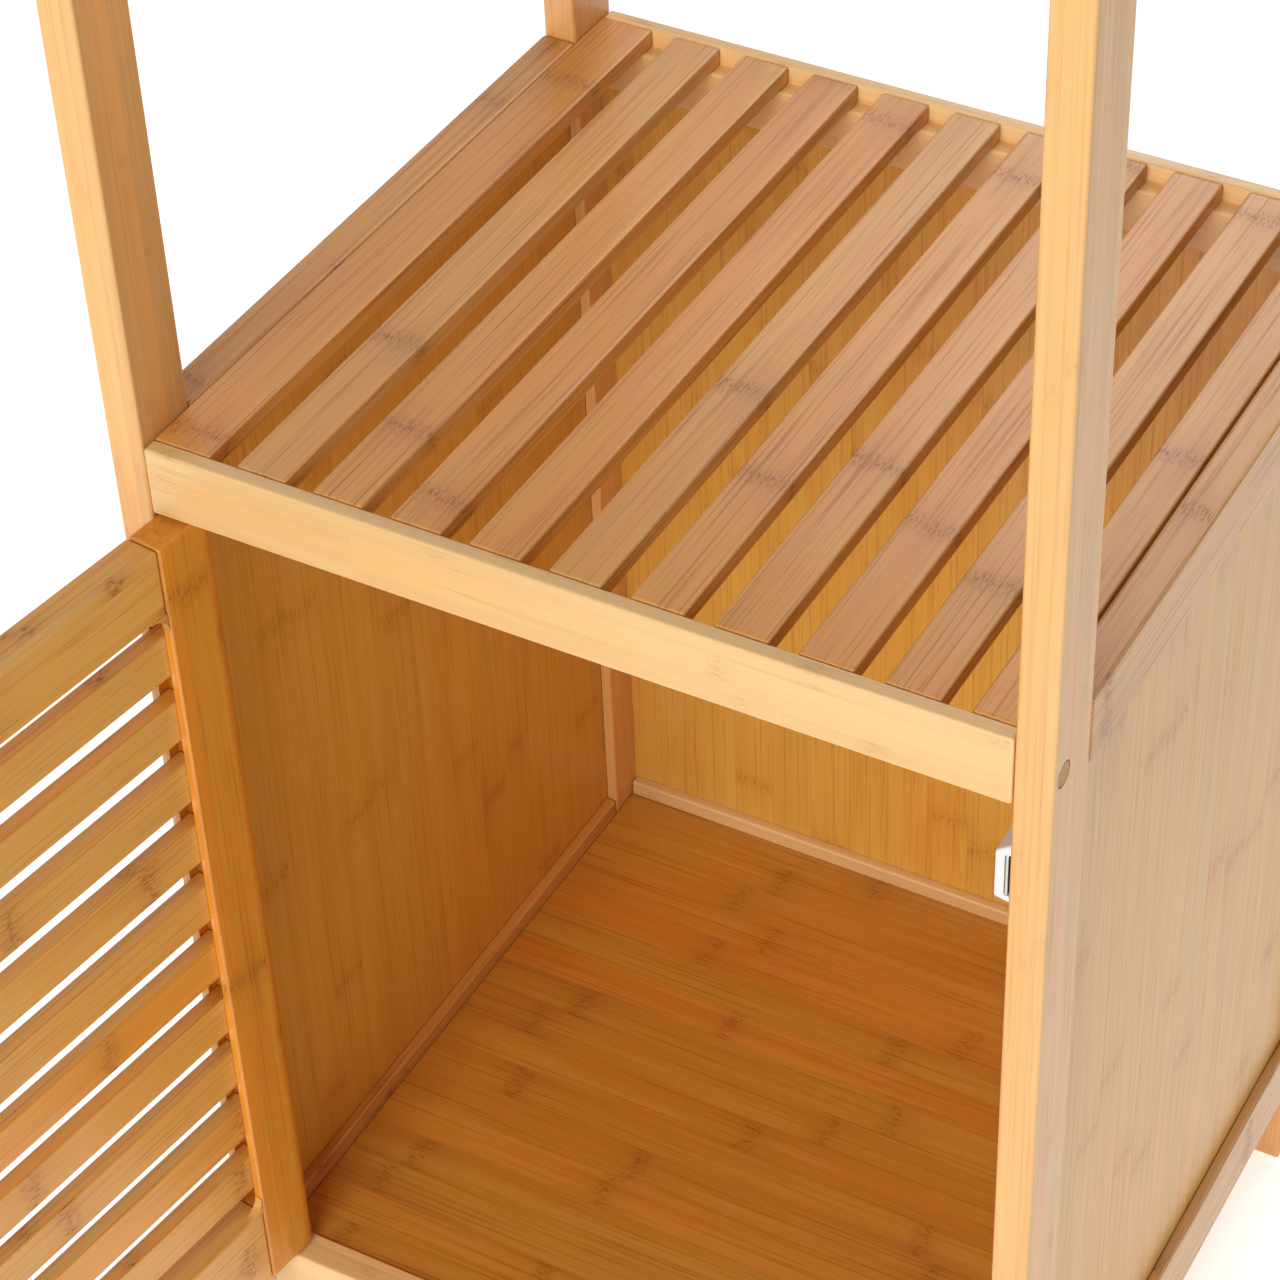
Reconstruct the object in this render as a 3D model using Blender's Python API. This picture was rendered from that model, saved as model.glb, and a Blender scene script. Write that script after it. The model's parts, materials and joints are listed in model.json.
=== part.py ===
"""Bamboo storage tower: slatted shelves over a cabinet with an open louvred door.

Every board of the real thing is one object here. X runs from the left posts to the right
posts, Y from front to back and Z up. The origin is the centre of the front left post's foot,
on the floor. The door's pieces hang from an empty on the line of its two pivot pins.
"""

import math

import bmesh
import bpy
from mathutils import Matrix, Vector

# Driving dimensions, in metres.
GAP = 0.0003  # joint line between pieces that touch
EASE = 0.0015  # eased edge of posts, rails and stiles
FINE_EASE = 0.0008  # eased edge of slats and small pieces

POST_WIDTH = 0.015
POST_DEPTH = 0.030
POST_HEIGHT = 1.180
INNER_WIDTH = 0.345  # clear width between the left and the right posts
OVERALL_DEPTH = 0.342

RAIL_THICKNESS = 0.015
RAIL_HEIGHT = 0.0295
CABINET_TOP = 0.520
MIDDLE_SHELF_TOP = 0.850
LIP = 0.007  # rail wood left in front of the rebate that carries the slats
REBATE_DEPTH = 0.008

SLAT_COUNT = 11
SLAT_THICKNESS = REBATE_DEPTH - GAP
SLAT_WIDTH = 0.021
SLAT_PITCH = 0.0323
FIRST_SLAT_WIDTH = 0.0243
LAST_SLAT_SEAM = 0.001

LOW_RAIL_BOTTOM = 0.047
LOW_RAIL_TOP = 0.084
LOW_FRONT_RAIL_TOP = 0.0775
PANEL_THICKNESS = 0.005
PANEL_GROOVE = 0.005
FLOOR_TOP = 0.076
FLOOR_THICKNESS = 0.008
FLOOR_GROOVE = 0.003

DOOR_GAP = 0.0015  # clearance round the closed door
DOOR_THICKNESS = 0.015
DOOR_OPEN_ANGLE = math.radians(97.35)
STILE_WIDTH = 0.030
DOOR_TOP_RAIL = 0.030
DOOR_BOTTOM_RAIL = 0.045
DOOR_SLAT_COUNT = 10
DOOR_SLAT_GAP = 0.0122
DOOR_SLAT_THICKNESS = 0.0075
DOOR_SLAT_RECESS = 0.00375  # from the door's inner face to the slats' inner face
DOOR_SLAT_TENON = 0.005

PIN_RADIUS = 0.003
PIN_LENGTH = 0.022
PIN_SIDES = 24

KNOB_RADIUS = 0.0125
KNOB_LENGTH = 0.022
KNOB_FOOT_RADIUS = 0.0065
KNOB_HEIGHT = 0.330
KNOB_SIDES = 32

PLUG_RADIUS = 0.005
PLUG_LENGTH = 0.004
PLUG_SIDES = 20

SCREW_RADIUS = 0.002
SCREW_GRIP = 0.009  # length of the knob's screw inside the knob
SCREW_HEAD_RADIUS = 0.0045
SCREW_HEAD_HEIGHT = 0.002

CATCH_REACH = 0.0125  # how far the catch stands out from the post
CATCH_DEPTH = 0.014
CATCH_TOP = CABINET_TOP - 0.060
CATCH_HEIGHT = 0.034
CATCH_TOP_SLOPE = 0.009  # height of the sloped top end
CATCH_FOOT_SLOPE = 0.0025
MAGNET_WIDTH = 0.004
MAGNET_HEIGHT = 0.019
MAGNET_DEPTH = 0.008
STRIKE_WIDTH = 0.010
STRIKE_HEIGHT = 0.024
STRIKE_THICKNESS = 0.0008

# Planes worked out from the dimensions above.
LEFT_INNER = POST_WIDTH / 2
LEFT_OUTER = -POST_WIDTH / 2
RIGHT_INNER = LEFT_INNER + INNER_WIDTH
RIGHT_OUTER = RIGHT_INNER + POST_WIDTH
FRONT = -POST_DEPTH / 2
BACK = FRONT + OVERALL_DEPTH
FRONT_POST_BACK = FRONT + POST_DEPTH
REAR_POST_FRONT = BACK - POST_DEPTH
FRONT_RAIL_BACK = FRONT + RAIL_THICKNESS
FRONT_RAIL_MIDDLE = FRONT + RAIL_THICKNESS / 2
REAR_RAIL_FRONT = BACK - RAIL_THICKNESS
REAR_RAIL_MIDDLE = BACK - RAIL_THICKNESS / 2
TOP_RAIL_BOTTOM = CABINET_TOP - RAIL_HEIGHT
GROOVE_HALF_WIDTH = PANEL_THICKNESS / 2 + GAP
GROOVE_LOW = LOW_RAIL_TOP - PANEL_GROOVE
GROOVE_HIGH = TOP_RAIL_BOTTOM + PANEL_GROOVE

DOOR_BOTTOM = LOW_FRONT_RAIL_TOP + DOOR_GAP
DOOR_TOP = TOP_RAIL_BOTTOM - DOOR_GAP
DOOR_WIDTH = INNER_WIDTH - 2 * DOOR_GAP
DOOR_SLAT_INNER = DOOR_THICKNESS / 2 - DOOR_SLAT_RECESS
DOOR_SLAT_OUTER = DOOR_SLAT_INNER - DOOR_SLAT_THICKNESS
PIVOT_X = LEFT_INNER + DOOR_GAP + DOOR_THICKNESS / 2
PIVOT_Y = FRONT + DOOR_THICKNESS / 2

BULLNOSE_STEPS = 12
QUARTER_ABOUT_X = Matrix.Rotation(math.radians(90), 4, "X")
QUARTER_ABOUT_Y = Matrix.Rotation(math.radians(90), 4, "Y")

# Finishes: linear base colour, roughness, metallic.
PALE_BAMBOO = ((0.83, 0.55, 0.26), 0.38, 0.0)
SHELF_BAMBOO = ((0.55, 0.30, 0.12), 0.34, 0.0)
PANEL_BAMBOO = ((0.52, 0.25, 0.06), 0.36, 0.0)
DOOR_BAMBOO = ((0.60, 0.31, 0.09), 0.36, 0.0)
END_GRAIN = ((0.45, 0.27, 0.08), 0.60, 0.0)
WHITE_PLASTIC = ((0.82, 0.84, 0.86), 0.35, 0.0)
MAGNET_METAL = ((0.22, 0.25, 0.30), 0.40, 0.8)
STEEL = ((0.60, 0.60, 0.60), 0.30, 1.0)


def clear_scene():
    """Remove every object of the open file."""
    for old in list(bpy.data.objects):
        bpy.data.objects.remove(old, do_unlink=True)


def dress(piece, finish):
    """Give a piece its own Principled material."""
    colour, roughness, metallic = finish
    material = bpy.data.materials.new(piece.name + "_finish")
    material.use_nodes = True
    shader = material.node_tree.nodes["Principled BSDF"]
    shader.inputs["Base Color"].default_value = (*colour, 1.0)
    shader.inputs["Roughness"].default_value = roughness
    shader.inputs["Metallic"].default_value = metallic
    piece.data.materials.append(material)


def add_piece(name, mesh, centre, parent=None):
    """Put a mesh into the scene as a named piece."""
    piece = bpy.data.objects.new(name, mesh)
    bpy.context.scene.collection.objects.link(piece)
    piece.location = centre
    piece.parent = parent
    return piece


def mesh_of(name, shape):
    """Turn a bmesh into a mesh with its faces pointing out, and free it."""
    bmesh.ops.recalc_face_normals(shape, faces=shape.faces)
    mesh = bpy.data.meshes.new(name)
    shape.to_mesh(mesh)
    shape.free()
    return mesh


def ease_edges(piece, width, limit=math.radians(50)):
    """Chamfer the sharp edges of a piece lightly."""
    bevel = piece.modifiers.new("eased_edges", "BEVEL")
    bevel.width = width
    bevel.segments = 1
    bevel.limit_method = "ANGLE"
    bevel.angle_limit = limit


def box_mesh(name, size):
    """Return a box of the given size about its own centre."""
    shape = bmesh.new()
    bmesh.ops.create_cube(shape, size=1.0, matrix=Matrix.Diagonal((*size, 1.0)))
    return mesh_of(name, shape)


def board(name, low, high, finish, ease=EASE, parent=None):
    """Make a sawn board between its lowest and highest corners."""
    low = Vector(low)
    high = Vector(high)
    piece = add_piece(name, box_mesh(name, high - low), (low + high) / 2, parent)
    ease_edges(piece, ease)
    dress(piece, finish)
    return piece


def prism(name, outline, low_z, high_z, finish, ease=EASE, parent=None):
    """Extrude an XY outline upwards between two heights."""
    shape = bmesh.new()
    floor = [shape.verts.new((x, y, low_z)) for x, y in outline]
    shape.faces.new(floor)
    walls = bmesh.ops.extrude_face_region(shape, geom=shape.faces[:])
    raised = [item for item in walls["geom"] if isinstance(item, bmesh.types.BMVert)]
    bmesh.ops.translate(shape, verts=raised, vec=(0, 0, high_z - low_z))
    piece = add_piece(name, mesh_of(name, shape), (0, 0, 0), parent)
    ease_edges(piece, ease)
    dress(piece, finish)
    return piece


def turned(name, profile, sides, finish, parent=None):
    """Turn a profile of (radius, height) points about Z, from its first end to its last."""
    shape = bmesh.new()
    rings = []
    for radius, height in profile:
        corners = []
        for side in range(sides):
            angle = math.tau * side / sides
            corners.append(shape.verts.new((radius * math.cos(angle), radius * math.sin(angle), height)))
        rings.append(corners)
    for lower, upper in zip(rings, rings[1:]):
        for side in range(sides):
            following = (side + 1) % sides
            shape.faces.new((lower[side], lower[following], upper[following], upper[side]))
    shape.faces.new(rings[0])
    shape.faces.new(rings[-1])
    piece = add_piece(name, mesh_of(name, shape), (0, 0, 0), parent)
    piece.data.shade_smooth()
    piece.data.set_sharp_from_angle(angle=math.radians(35))
    dress(piece, finish)
    return piece


def rod(name, radius, length, sides, finish, parent=None):
    """Make a round rod with chamfered ends, centred on its own middle."""
    half = length / 2
    chamfer = radius / 5
    profile = (
        (radius - chamfer, -half),
        (radius, -half + chamfer),
        (radius, half - chamfer),
        (radius - chamfer, half),
    )
    return turned(name, profile, sides, finish, parent)


def combine(piece, guide, operation):
    """Add a guide to a piece or cut it away, and leave the guide hidden."""
    guide.hide_render = True
    guide.display_type = "WIRE"
    boolean = piece.modifiers.new(guide.name, "BOOLEAN")
    boolean.operation = operation
    boolean.solver = "EXACT"
    boolean.object = guide


def cut_box(piece, tag, low, high):
    """Cut a square-edged groove or rebate, given in the frame of the piece's parent."""
    low = Vector(low)
    high = Vector(high)
    name = piece.name + "_" + tag
    cutter = add_piece(name, box_mesh(name, high - low), (low + high) / 2, piece.parent)
    combine(piece, cutter, "DIFFERENCE")


def cut_bore(piece, tag, radius, centre, length, sides, turn=Matrix.Identity(4)):
    """Drill a round hole of the given length about a centre, in the frame of the piece's parent."""
    shape = bmesh.new()
    bmesh.ops.create_cone(
        shape, cap_ends=True, segments=sides, radius1=radius, radius2=radius, depth=length, matrix=turn
    )
    name = piece.name + "_" + tag
    cutter = add_piece(name, mesh_of(name, shape), centre, piece.parent)
    combine(piece, cutter, "DIFFERENCE")


def make_posts():
    """Make the four posts, grooved where the cabinet's panels enter them."""
    across = {"left": (LEFT_OUTER, LEFT_INNER), "right": (RIGHT_INNER, RIGHT_OUTER)}
    along = {"front": (FRONT, FRONT_POST_BACK), "rear": (REAR_POST_FRONT, BACK)}
    posts = {}
    for end, (front, back) in along.items():
        mouth = back if end == "front" else front
        for side, (low_x, high_x) in across.items():
            post = board(f"{end}_{side}_post", (low_x, front, 0), (high_x, back, POST_HEIGHT), PALE_BAMBOO)
            middle = (low_x + high_x) / 2
            cut_box(
                post,
                "side_groove",
                (middle - GROOVE_HALF_WIDTH, mouth - PANEL_GROOVE, GROOVE_LOW),
                (middle + GROOVE_HALF_WIDTH, mouth + PANEL_GROOVE, GROOVE_HIGH),
            )
            posts[end, side] = post
    for side, mouth in (("left", LEFT_INNER), ("right", RIGHT_INNER)):
        cut_box(
            posts["rear", side],
            "back_groove",
            (mouth - PANEL_GROOVE, REAR_RAIL_MIDDLE - GROOVE_HALF_WIDTH, GROOVE_LOW),
            (mouth + PANEL_GROOVE, REAR_RAIL_MIDDLE + GROOVE_HALF_WIDTH, GROOVE_HIGH),
        )
    return posts


def make_plugs(posts):
    """Close the screw holes beside the cabinet top's cross rails with wooden plugs."""
    height = CABINET_TOP - RAIL_HEIGHT / 2
    for end, depth in (("front", FRONT_RAIL_MIDDLE), ("rear", REAR_RAIL_MIDDLE)):
        for side, face, inward in (("left", LEFT_OUTER, 1), ("right", RIGHT_OUTER, -1)):
            place = Vector((face, depth, height))
            hole_length = 2 * (PLUG_LENGTH + GAP)
            post = posts[end, side]
            cut_bore(post, "plug_hole", PLUG_RADIUS + GAP, place, hole_length, PLUG_SIDES, QUARTER_ABOUT_Y)
            plug = rod(f"{end}_{side}_screw_plug", PLUG_RADIUS, PLUG_LENGTH, PLUG_SIDES, END_GRAIN)
            plug.location = place + Vector((inward * PLUG_LENGTH / 2, 0, 0))
            plug.rotation_euler = QUARTER_ABOUT_Y.to_euler()


def slat_spans():
    """Return the low and high X of every shelf slat, from left to right."""
    spans = [(LEFT_INNER + GAP, LEFT_INNER + FIRST_SLAT_WIDTH)]
    for index in range(1, SLAT_COUNT):
        high = LEFT_INNER + FIRST_SLAT_WIDTH + index * SLAT_PITCH
        spans.append((high - SLAT_WIDTH, min(high, RIGHT_INNER - LAST_SLAT_SEAM)))
    return spans


def make_side_rail(name, side, top, height):
    """Make a rail that runs from the front post to the rear post of one side."""
    low_x, high_x = (LEFT_OUTER, LEFT_INNER) if side == "left" else (RIGHT_INNER, RIGHT_OUTER)
    low = (low_x, FRONT_POST_BACK + GAP, top - height)
    high = (high_x, REAR_POST_FRONT - GAP, top)
    return board(name, low, high, SHELF_BAMBOO)


def make_cross_rail(name, end, top, height):
    """Make a rail that runs from the left post to the right post."""
    front, back = (FRONT, FRONT_RAIL_BACK) if end == "front" else (REAR_RAIL_FRONT, BACK)
    low = (LEFT_INNER + GAP, front, top - height)
    high = (RIGHT_INNER - GAP, back, top)
    return board(name, low, high, PALE_BAMBOO)


def cut_rebate(rail, end, top):
    """Cut the ledge that carries the slats along the inner top edge of a cross rail."""
    front, back = (FRONT + LIP, BACK) if end == "front" else (FRONT, BACK - LIP)
    cut_box(
        rail,
        "rebate",
        (LEFT_OUTER, front, top - REBATE_DEPTH),
        (RIGHT_OUTER, back, top + REBATE_DEPTH),
    )


def make_cabinet_top():
    """Make the frame and the loose slats of the cabinet's top, and return the frame's rails."""
    rails = {}
    for end in ("front", "rear"):
        rails[end] = make_cross_rail(f"cabinet_top_{end}_rail", end, CABINET_TOP, RAIL_HEIGHT)
        cut_rebate(rails[end], end, CABINET_TOP)
    for side in ("left", "right"):
        rails[side] = make_side_rail(f"cabinet_top_{side}_rail", side, CABINET_TOP, RAIL_HEIGHT)
    for number, (low_x, high_x) in enumerate(slat_spans(), start=1):
        low = (low_x, FRONT + LIP + GAP, CABINET_TOP - SLAT_THICKNESS)
        high = (high_x, BACK - LIP - GAP, CABINET_TOP)
        board(f"cabinet_top_slat_{number:02d}", low, high, SHELF_BAMBOO, FINE_EASE)
    return rails


def make_upper_shelf(prefix, top):
    """Make an open shelf: two side rails, and slats fixed between two cross rails as one deck."""
    for side in ("left", "right"):
        make_side_rail(f"{prefix}_{side}_rail", side, top, RAIL_HEIGHT)
    deck = make_cross_rail(f"{prefix}_deck", "front", top, RAIL_HEIGHT)
    members = [make_cross_rail(f"{prefix}_deck_rear_rail", "rear", top, RAIL_HEIGHT)]
    for number, (low_x, high_x) in enumerate(slat_spans(), start=1):
        low = (low_x, FRONT + LIP, top - SLAT_THICKNESS)
        high = (high_x, BACK - LIP, top - GAP)
        members.append(board(f"{prefix}_deck_slat_{number:02d}", low, high, SHELF_BAMBOO, FINE_EASE))
    for member in members:
        combine(deck, member, "UNION")


def make_low_rails():
    """Make the four rails under the cabinet, grooved for its floor."""
    height = LOW_RAIL_TOP - LOW_RAIL_BOTTOM
    front_height = LOW_FRONT_RAIL_TOP - LOW_RAIL_BOTTOM
    rails = {
        "front": make_cross_rail("low_front_rail", "front", LOW_FRONT_RAIL_TOP, front_height),
        "rear": make_cross_rail("low_rear_rail", "rear", LOW_RAIL_TOP, height),
        "left": make_side_rail("low_left_rail", "left", LOW_RAIL_TOP, height),
        "right": make_side_rail("low_right_rail", "right", LOW_RAIL_TOP, height),
    }
    for end, mouth in (("front", FRONT_RAIL_BACK), ("rear", REAR_RAIL_FRONT)):
        cut_box(
            rails[end],
            "floor_groove",
            (LEFT_OUTER, mouth - FLOOR_GROOVE, FLOOR_TOP - FLOOR_THICKNESS - GAP),
            (RIGHT_OUTER, mouth + FLOOR_GROOVE, FLOOR_TOP + GAP),
        )
    return rails


def make_panels(low_rails, top_rails):
    """Make the cabinet's floor, sides and back, and the grooves that hold them in the rails."""
    reach = FLOOR_GROOVE - GAP
    low = (LEFT_INNER + GAP, FRONT_RAIL_BACK - reach, FLOOR_TOP - FLOOR_THICKNESS)
    high = (RIGHT_INNER - GAP, REAR_RAIL_FRONT + reach, FLOOR_TOP)
    board("cabinet_floor", low, high, PANEL_BAMBOO, FINE_EASE)

    reach = PANEL_GROOVE - GAP
    half = PANEL_THICKNESS / 2
    low_z = LOW_RAIL_TOP - reach
    high_z = TOP_RAIL_BOTTOM + reach
    for side, middle in (("left", 0.0), ("right", RIGHT_OUTER - RAIL_THICKNESS / 2)):
        low = (middle - half, FRONT_POST_BACK - reach, low_z)
        high = (middle + half, REAR_POST_FRONT + reach, high_z)
        board(f"{side}_side_panel", low, high, PANEL_BAMBOO, FINE_EASE)
        for rail, edge in ((low_rails[side], LOW_RAIL_TOP), (top_rails[side], TOP_RAIL_BOTTOM)):
            cut_box(
                rail,
                "panel_groove",
                (middle - GROOVE_HALF_WIDTH, FRONT, edge - PANEL_GROOVE),
                (middle + GROOVE_HALF_WIDTH, BACK, edge + PANEL_GROOVE),
            )
    low = (LEFT_INNER - reach, REAR_RAIL_MIDDLE - half, low_z)
    high = (RIGHT_INNER + reach, REAR_RAIL_MIDDLE + half, high_z)
    board("back_panel", low, high, PANEL_BAMBOO, FINE_EASE)
    for rail, edge in ((low_rails["rear"], LOW_RAIL_TOP), (top_rails["rear"], TOP_RAIL_BOTTOM)):
        cut_box(
            rail,
            "panel_groove",
            (LEFT_OUTER, REAR_RAIL_MIDDLE - GROOVE_HALF_WIDTH, edge - PANEL_GROOVE),
            (RIGHT_OUTER, REAR_RAIL_MIDDLE + GROOVE_HALF_WIDTH, edge + PANEL_GROOVE),
        )


def make_hinge_stile(hinge):
    """Make the stile that carries the pivots, its hinge edge rounded about their line."""
    half = DOOR_THICKNESS / 2
    outline = []
    for step in range(BULLNOSE_STEPS + 1):
        angle = math.radians(90) + math.radians(180) * step / BULLNOSE_STEPS
        outline.append((half * math.cos(angle), half * math.sin(angle)))
    inner_x = STILE_WIDTH - half
    outline += [(inner_x, -half), (inner_x, half)]
    return prism("door_hinge_stile", outline, DOOR_BOTTOM, DOOR_TOP, DOOR_BAMBOO, EASE, hinge)


def make_pivots(hinge, stile, top_rail, low_rail):
    """Make the two pivot pins and the bores that they stand in."""
    bore_length = PIN_LENGTH - DOOR_GAP + 2 * GAP
    bore_radius = PIN_RADIUS + GAP
    for tag, rail, rail_face, stile_end in (
        ("upper", top_rail, TOP_RAIL_BOTTOM, DOOR_TOP),
        ("lower", low_rail, LOW_FRONT_RAIL_TOP, DOOR_BOTTOM),
    ):
        pin = rod(f"door_{tag}_pivot_pin", PIN_RADIUS, PIN_LENGTH, PIN_SIDES, STEEL)
        pin.location = (PIVOT_X, PIVOT_Y, (rail_face + stile_end) / 2)
        cut_bore(rail, "pin_bore", bore_radius, (PIVOT_X, PIVOT_Y, rail_face), bore_length, PIN_SIDES)
        cut_bore(stile, f"{tag}_pin_bore", bore_radius, (0, 0, stile_end), bore_length, PIN_SIDES)


def make_door_frame(hinge):
    """Make the door's two stiles and two rails, in the frame of the closed door."""
    half = DOOR_THICKNESS / 2
    hinge_stile = make_hinge_stile(hinge)
    free_edge = DOOR_WIDTH - half
    free_stile = board(
        "door_free_stile",
        (free_edge - STILE_WIDTH, -half, DOOR_BOTTOM),
        (free_edge, half, DOOR_TOP),
        DOOR_BAMBOO,
        EASE,
        hinge,
    )
    low_x = STILE_WIDTH - half
    high_x = free_edge - STILE_WIDTH
    for name, low_z, high_z in (
        ("door_top_rail", DOOR_TOP - DOOR_TOP_RAIL, DOOR_TOP),
        ("door_bottom_rail", DOOR_BOTTOM, DOOR_BOTTOM + DOOR_BOTTOM_RAIL),
    ):
        board(name, (low_x + GAP, -half, low_z), (high_x - GAP, half, high_z), DOOR_BAMBOO, EASE, hinge)
    for stile, mouth in ((hinge_stile, low_x), (free_stile, high_x)):
        cut_box(
            stile,
            "slat_groove",
            (mouth - DOOR_SLAT_TENON - GAP, DOOR_SLAT_OUTER - GAP, DOOR_BOTTOM + DOOR_BOTTOM_RAIL),
            (mouth + DOOR_SLAT_TENON, DOOR_SLAT_INNER + GAP, DOOR_TOP - DOOR_TOP_RAIL),
        )
    return hinge_stile, free_stile


def make_door_slats(hinge):
    """Make the door's slats, their ends held in the grooves of the stiles."""
    low_x = STILE_WIDTH - DOOR_THICKNESS / 2 - DOOR_SLAT_TENON
    high_x = DOOR_WIDTH - DOOR_THICKNESS / 2 - STILE_WIDTH + DOOR_SLAT_TENON
    opening_low = DOOR_BOTTOM + DOOR_BOTTOM_RAIL
    opening_high = DOOR_TOP - DOOR_TOP_RAIL
    pitch = (opening_high - opening_low - DOOR_SLAT_GAP) / DOOR_SLAT_COUNT
    for number in range(1, DOOR_SLAT_COUNT + 1):
        top = opening_high - DOOR_SLAT_GAP - (number - 1) * pitch
        low = (low_x, DOOR_SLAT_OUTER, top - pitch + DOOR_SLAT_GAP)
        high = (high_x, DOOR_SLAT_INNER, top)
        board(f"door_slat_{number:02d}", low, high, DOOR_BAMBOO, FINE_EASE, hinge)


def make_knob(hinge, stile):
    """Make the knob on the door's outer face and the screw that holds it from inside."""
    half = DOOR_THICKNESS / 2
    across = DOOR_WIDTH - half - STILE_WIDTH / 2
    height = DOOR_BOTTOM + KNOB_HEIGHT
    profile = (
        (KNOB_FOOT_RADIUS, 0.0),
        (KNOB_FOOT_RADIUS * 0.85, KNOB_LENGTH * 0.20),
        (KNOB_FOOT_RADIUS, KNOB_LENGTH * 0.36),
        (KNOB_RADIUS * 0.88, KNOB_LENGTH * 0.55),
        (KNOB_RADIUS, KNOB_LENGTH * 0.70),
        (KNOB_RADIUS * 0.94, KNOB_LENGTH * 0.86),
        (KNOB_RADIUS * 0.70, KNOB_LENGTH),
    )
    knob = turned("door_knob", profile, KNOB_SIDES, PALE_BAMBOO, hinge)
    knob.location = (across, -half - GAP, height)
    knob.rotation_euler = QUARTER_ABOUT_X.to_euler()

    clear_radius = SCREW_RADIUS + GAP
    grip_hole = 2 * (SCREW_GRIP + 2 * GAP)
    cut_bore(knob, "screw_bore", clear_radius, knob.location, grip_hole, PLUG_SIDES, QUARTER_ABOUT_X)
    stile_hole = 2 * DOOR_THICKNESS
    cut_bore(stile, "screw_bore", clear_radius, (across, 0, height), stile_hole, PLUG_SIDES, QUARTER_ABOUT_X)
    shank = SCREW_GRIP + DOOR_THICKNESS + GAP
    profile = (
        (SCREW_RADIUS * 0.6, 0.0),
        (SCREW_RADIUS, SCREW_RADIUS),
        (SCREW_RADIUS, shank),
        (SCREW_HEAD_RADIUS, shank),
        (SCREW_HEAD_RADIUS, shank + SCREW_HEAD_HEIGHT * 0.4),
        (SCREW_HEAD_RADIUS * 0.6, shank + SCREW_HEAD_HEIGHT),
    )
    screw = turned("door_knob_screw", profile, PLUG_SIDES, STEEL, hinge)
    screw.location = (across, -half - SCREW_GRIP, height)
    screw.rotation_euler = QUARTER_ABOUT_X.inverted().to_euler()


def make_catch(hinge):
    """Make the magnetic catch on the right front post and the steel plate it holds."""
    foot = CATCH_TOP - CATCH_HEIGHT
    post_face = RIGHT_INNER - GAP
    nose = RIGHT_INNER - CATCH_REACH
    front = FRONT_RAIL_BACK + STRIKE_THICKNESS + 2 * GAP
    outline = (
        (post_face, foot),
        (post_face, CATCH_TOP),
        (nose, CATCH_TOP - CATCH_TOP_SLOPE),
        (nose, foot + CATCH_FOOT_SLOPE),
    )
    housing = prism("catch_housing", outline, -front - CATCH_DEPTH, -front, WHITE_PLASTIC, FINE_EASE)
    housing.rotation_euler = QUARTER_ABOUT_X.to_euler()

    middle_x = RIGHT_INNER - CATCH_REACH / 2
    middle_z = foot + CATCH_HEIGHT / 2 - CATCH_FOOT_SLOPE
    low = Vector((middle_x - MAGNET_WIDTH / 2, front, middle_z - MAGNET_HEIGHT / 2))
    high = Vector((middle_x + MAGNET_WIDTH / 2, front + MAGNET_DEPTH, middle_z + MAGNET_HEIGHT / 2))
    board("catch_magnet", low, high, MAGNET_METAL, MAGNET_WIDTH / 10)
    clearance = Vector((GAP, GAP, GAP))
    cut_box(housing, "magnet_pocket", low - clearance - Vector((0, CATCH_DEPTH, 0)), high + clearance)

    across = middle_x - PIVOT_X
    inner_face = DOOR_THICKNESS / 2 + GAP
    board(
        "door_strike_plate",
        (across - STRIKE_WIDTH / 2, inner_face, middle_z - STRIKE_HEIGHT / 2),
        (across + STRIKE_WIDTH / 2, inner_face + STRIKE_THICKNESS, middle_z + STRIKE_HEIGHT / 2),
        STEEL,
        STRIKE_THICKNESS / 4,
        hinge,
    )


def make_door(top_rail, low_rail):
    """Make the door on its pivots, swung open past square."""
    hinge = bpy.data.objects.new("door_pivot_line", None)
    bpy.context.scene.collection.objects.link(hinge)
    hinge.location = (PIVOT_X, PIVOT_Y, 0)
    hinge.rotation_euler = (0, 0, -DOOR_OPEN_ANGLE)
    hinge_stile, free_stile = make_door_frame(hinge)
    make_pivots(hinge, hinge_stile, top_rail, low_rail)
    make_door_slats(hinge)
    make_knob(hinge, free_stile)
    make_catch(hinge)


def main():
    """Build the tower from the floor up."""
    clear_scene()
    posts = make_posts()
    low_rails = make_low_rails()
    top_rails = make_cabinet_top()
    make_panels(low_rails, top_rails)
    make_plugs(posts)
    make_upper_shelf("middle_shelf", MIDDLE_SHELF_TOP)
    make_upper_shelf("top_shelf", POST_HEIGHT)
    make_door(top_rails["front"], low_rails["front"])
    bpy.context.view_layer.update()


main()
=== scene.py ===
"""Looks of a bamboo storage tower: three slatted shelves, and a cabinet with a louvred door.

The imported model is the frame. Each of its boards is sawn again here with round edges, and
laid where the frame has it. A board lies along its own X: its length, and its grain, run
along X, its wide face spans Y and its thickness is Z. One bamboo material then fits every
board, whichever way it runs in the tower. The door's pieces are made in the frame of the
closed door and turned about its pivots to where the open door stands.
"""

from __future__ import annotations

import json
import logging
import math
from collections.abc import Iterable, Mapping
from dataclasses import dataclass, field
from enum import Enum
from typing import Any

import bmesh
import bpy
from mathutils import Matrix, Vector


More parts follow.
